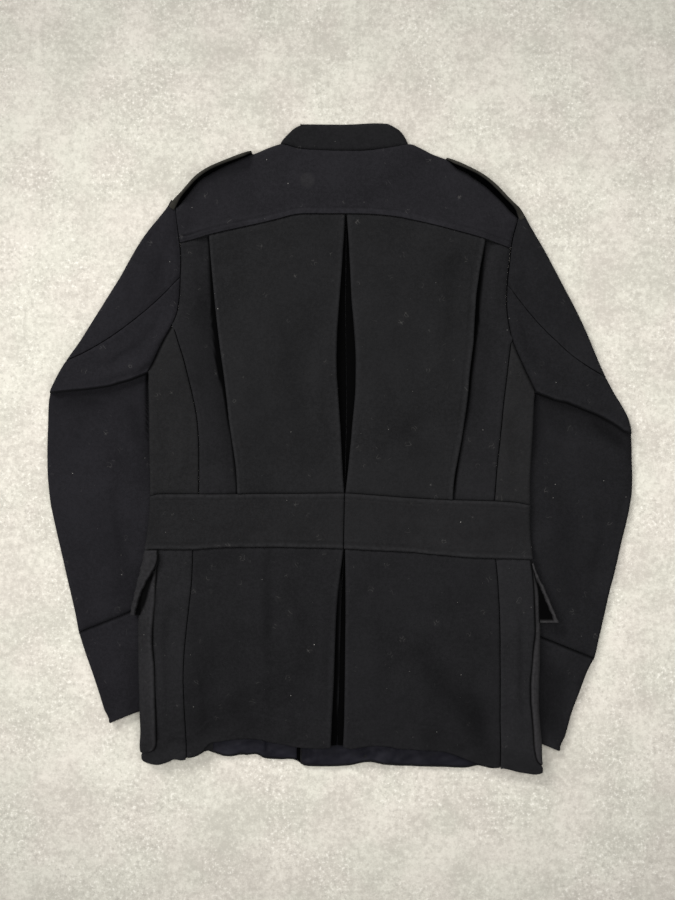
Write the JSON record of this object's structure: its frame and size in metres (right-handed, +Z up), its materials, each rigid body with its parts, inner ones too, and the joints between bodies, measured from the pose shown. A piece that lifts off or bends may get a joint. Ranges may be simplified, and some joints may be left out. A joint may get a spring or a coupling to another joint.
{
  "type": "officer jacket",
  "caption": "Stand-collar wool officer jacket laid flat on its front, back up: pleated back, sewn waistband, patch pockets, arms half tucked under.",
  "frame": {"origin": "middle of the bounding box's underside, on the surface that the jacket lies on", "axes": "+Z up out of the surface, +Y from the hem towards the collar, +X towards the wearer's right (back up)"},
  "size_m": [0.7138, 0.7896, 0.0296],
  "materials": {
    "wool": "matte brushed wool melton, near black",
    "wool_trim": "matte wool melton, pressed in two layers",
    "facing_cloth": "thin twill facing with a slight sheen",
    "horn": "satin dark horn-like button"
  },
  "bodies": {
    "root": {"back_centre_L": "wool", "back_centre_R": "wool", "back_side_L": "wool", "back_side_R": "wool", "back_yoke": "wool", "button_1": "horn", "button_2": "horn", "button_3": "horn", "button_4": "horn", "button_5": "horn", "collar_stand": "wool_trim", "cuff_L": "wool_trim", "cuff_R": "wool_trim", "front_L": "wool", "front_R": "wool", "front_skirt_L": "wool", "front_skirt_R": "wool", "hem_facing_L": "facing_cloth", "hem_facing_R": "facing_cloth", "pocket_L": "wool_trim", "pocket_R": "wool_trim", "pocket_flap_L": "wool_trim", "pocket_flap_R": "wool_trim", "shoulder_strap_L": "wool_trim", "shoulder_strap_R": "wool_trim", "side_panel_L": "wool", "side_panel_R": "wool", "skirt_back_L": "wool", "skirt_back_R": "wool", "skirt_side_L": "wool", "skirt_side_R": "wool", "sleeve_under_L": "wool", "sleeve_under_R": "wool", "sleeve_upper_L": "wool", "sleeve_upper_R": "wool", "waistband_L": "wool_trim", "waistband_R": "wool_trim"}
  },
  "joints": []
}
